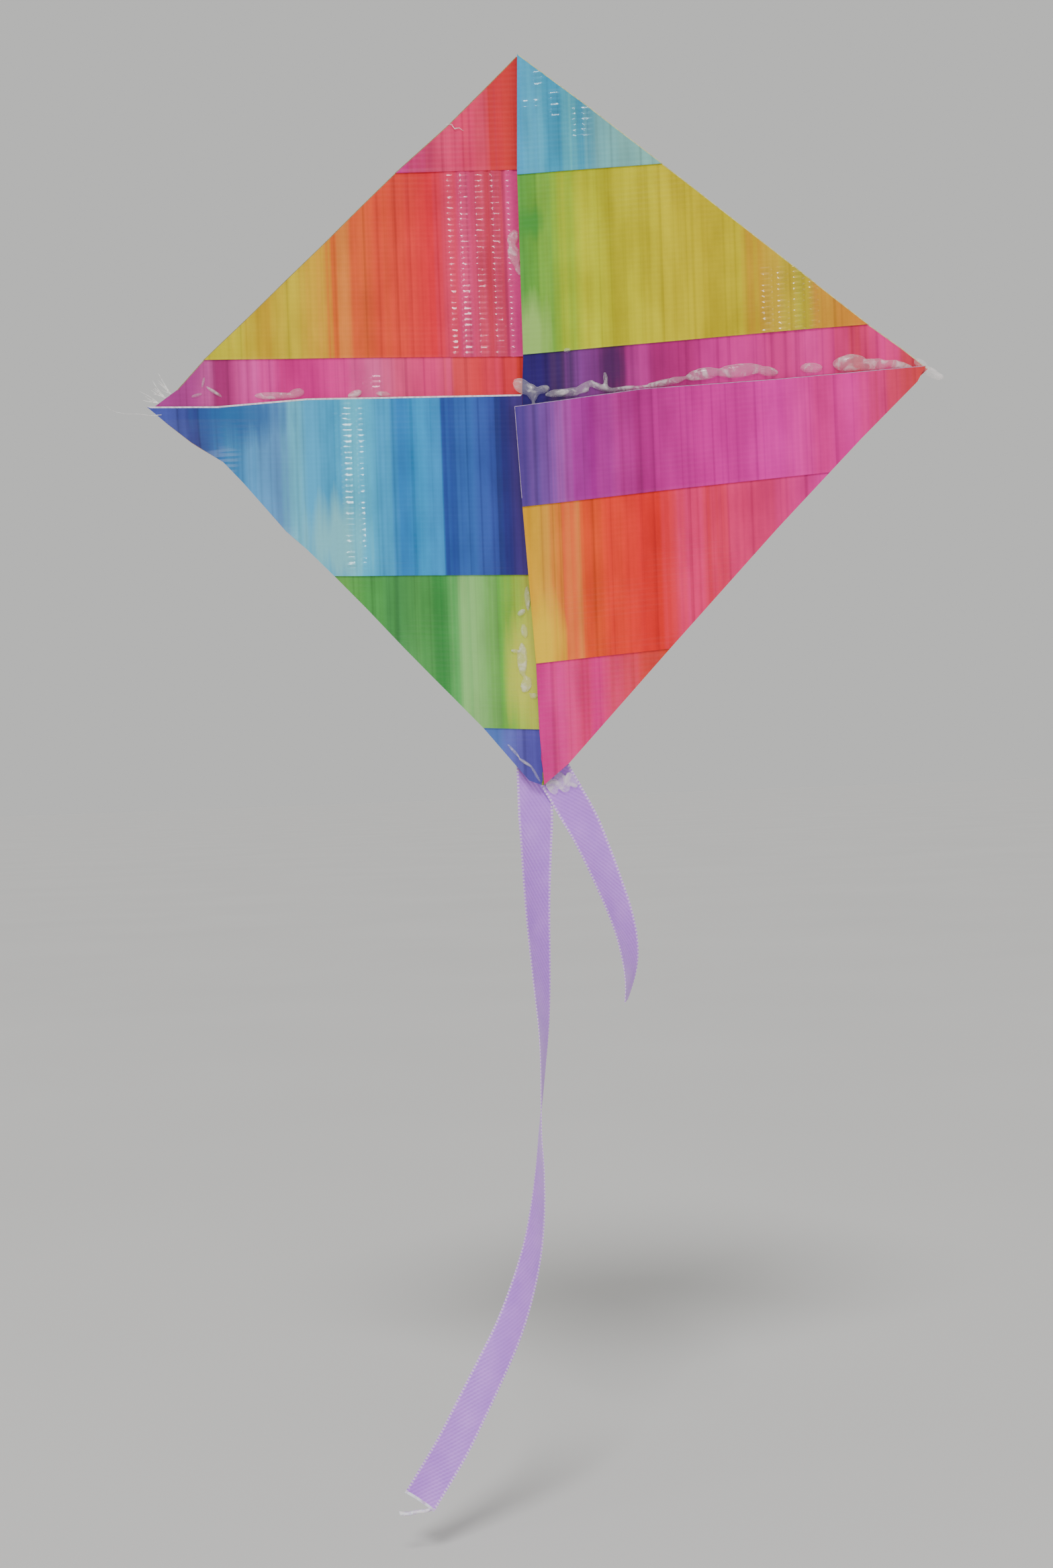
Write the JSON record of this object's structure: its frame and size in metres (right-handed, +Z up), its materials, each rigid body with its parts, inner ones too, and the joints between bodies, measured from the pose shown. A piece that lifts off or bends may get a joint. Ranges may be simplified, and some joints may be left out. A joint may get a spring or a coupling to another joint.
{
  "type": "diamond kite",
  "caption": "Small handmade diamond kite: lapped cloth-tape panels glued over crossed split-bamboo sticks, with two satin ribbon tails.",
  "frame": {"origin": "centre of the spar's back face, where the spar crosses the spine", "axes": "+Z up the spine to the nose, +X along the spar to the right wing tip seen from the front, -Y out of the printed front face"},
  "size_m": [0.2167, 0.0099, 0.3806],
  "materials": {
    "tape_upper_left_top": "printed glossy film over woven scrim",
    "tape_upper_left_middle": "printed glossy film over woven scrim",
    "tape_upper_left_bottom": "printed glossy film over woven scrim",
    "tape_upper_left_back_top": "printed glossy film over woven scrim",
    "tape_upper_left_back_bottom": "printed glossy film over woven scrim",
    "tape_upper_right_top": "printed glossy film over woven scrim",
    "tape_upper_right_middle": "printed glossy film over woven scrim",
    "tape_upper_right_bottom": "printed glossy film over woven scrim",
    "tape_upper_right_back_top": "printed glossy film over woven scrim",
    "tape_upper_right_back_bottom": "printed glossy film over woven scrim",
    "tape_lower_left_top": "printed glossy film over woven scrim",
    "tape_lower_left_middle": "printed glossy film over woven scrim",
    "tape_lower_left_bottom": "printed glossy film over woven scrim",
    "tape_lower_left_back_top": "printed glossy film over woven scrim",
    "tape_lower_left_back_bottom": "printed glossy film over woven scrim",
    "tape_lower_right_top": "printed glossy film over woven scrim",
    "tape_lower_right_middle": "printed glossy film over woven scrim",
    "tape_lower_right_bottom": "printed glossy film over woven scrim",
    "tape_lower_right_back_top": "printed glossy film over woven scrim",
    "tape_lower_right_back_bottom": "printed glossy film over woven scrim",
    "split_bamboo": "dry split bamboo",
    "hot_glue": "clear, slightly milky, set hot-melt glue",
    "satin_ribbon": "lilac polyester satin",
    "sealed_edge": "melted polyester edge",
    "white_yarn": "frayed scrim yarn"
  },
  "bodies": {
    "kite": {"spine": "split_bamboo", "spar": "split_bamboo", "upper_left_top_strip": "tape_upper_left_top", "upper_left_middle_strip": "tape_upper_left_middle", "upper_left_bottom_strip": "tape_upper_left_bottom", "upper_left_back_top_strip": "tape_upper_left_back_top", "upper_left_back_bottom_strip": "tape_upper_left_back_bottom", "upper_right_top_strip": "tape_upper_right_top", "upper_right_middle_strip": "tape_upper_right_middle", "upper_right_bottom_strip": "tape_upper_right_bottom", "upper_right_back_top_strip": "tape_upper_right_back_top", "upper_right_back_bottom_strip": "tape_upper_right_back_bottom", "lower_left_top_strip": "tape_lower_left_top", "lower_left_middle_strip": "tape_lower_left_middle", "lower_left_bottom_strip": "tape_lower_left_bottom", "lower_left_back_top_strip": "tape_lower_left_back_top", "lower_left_back_bottom_strip": "tape_lower_left_back_bottom", "lower_right_top_strip": "tape_lower_right_top", "lower_right_middle_strip": "tape_lower_right_middle", "lower_right_bottom_strip": "tape_lower_right_bottom", "lower_right_back_top_strip": "tape_lower_right_back_top", "lower_right_back_bottom_strip": "tape_lower_right_back_bottom", "nose_seam_glue": "hot_glue", "left_seam_glue": "hot_glue", "right_seam_glue": "hot_glue", "foot_seam_glue": "hot_glue", "centre_glue": "hot_glue", "left_tip_glue": "hot_glue", "right_tip_glue": "hot_glue", "foot_glue": "hot_glue", "spine_glue": "hot_glue", "spar_glue": "hot_glue", "crossing_glue": "hot_glue", "tail_root_glue": "hot_glue", "tail_glue_smear": "hot_glue", "left_tip_threads": "white_yarn", "loose_filament": "white_yarn", "long_tail_root": "satin_ribbon", "short_tail_root": "satin_ribbon"},
    "long_tail_upper": {"long_tail_upper": "satin_ribbon"},
    "long_tail_lower": {"long_tail_lower": "satin_ribbon", "long_tail_loose_edge": "sealed_edge"},
    "short_tail": {"short_tail": "satin_ribbon"}
  },
  "joints": [
    {"name": "long_tail_lift", "type": "hinge", "parent": "kite", "child": "long_tail_upper", "pos_m": [-0.0022, -0.0048, -0.109], "axis": [-1, 0, 0], "range_deg": [-45, 75]},
    {"name": "long_tail_swing", "type": "hinge", "parent": "long_tail_upper", "child": "long_tail_lower", "pos_m": [-0.0033, -0.0048, -0.185], "axis": [0, 0, 1], "range_deg": [-60, 60]},
    {"name": "short_tail_lift", "type": "hinge", "parent": "kite", "child": "short_tail", "pos_m": [0.0075, -0.00545, -0.1083], "axis": [-0.8829, 0, -0.4695], "range_deg": [-45, 75]}
  ]
}
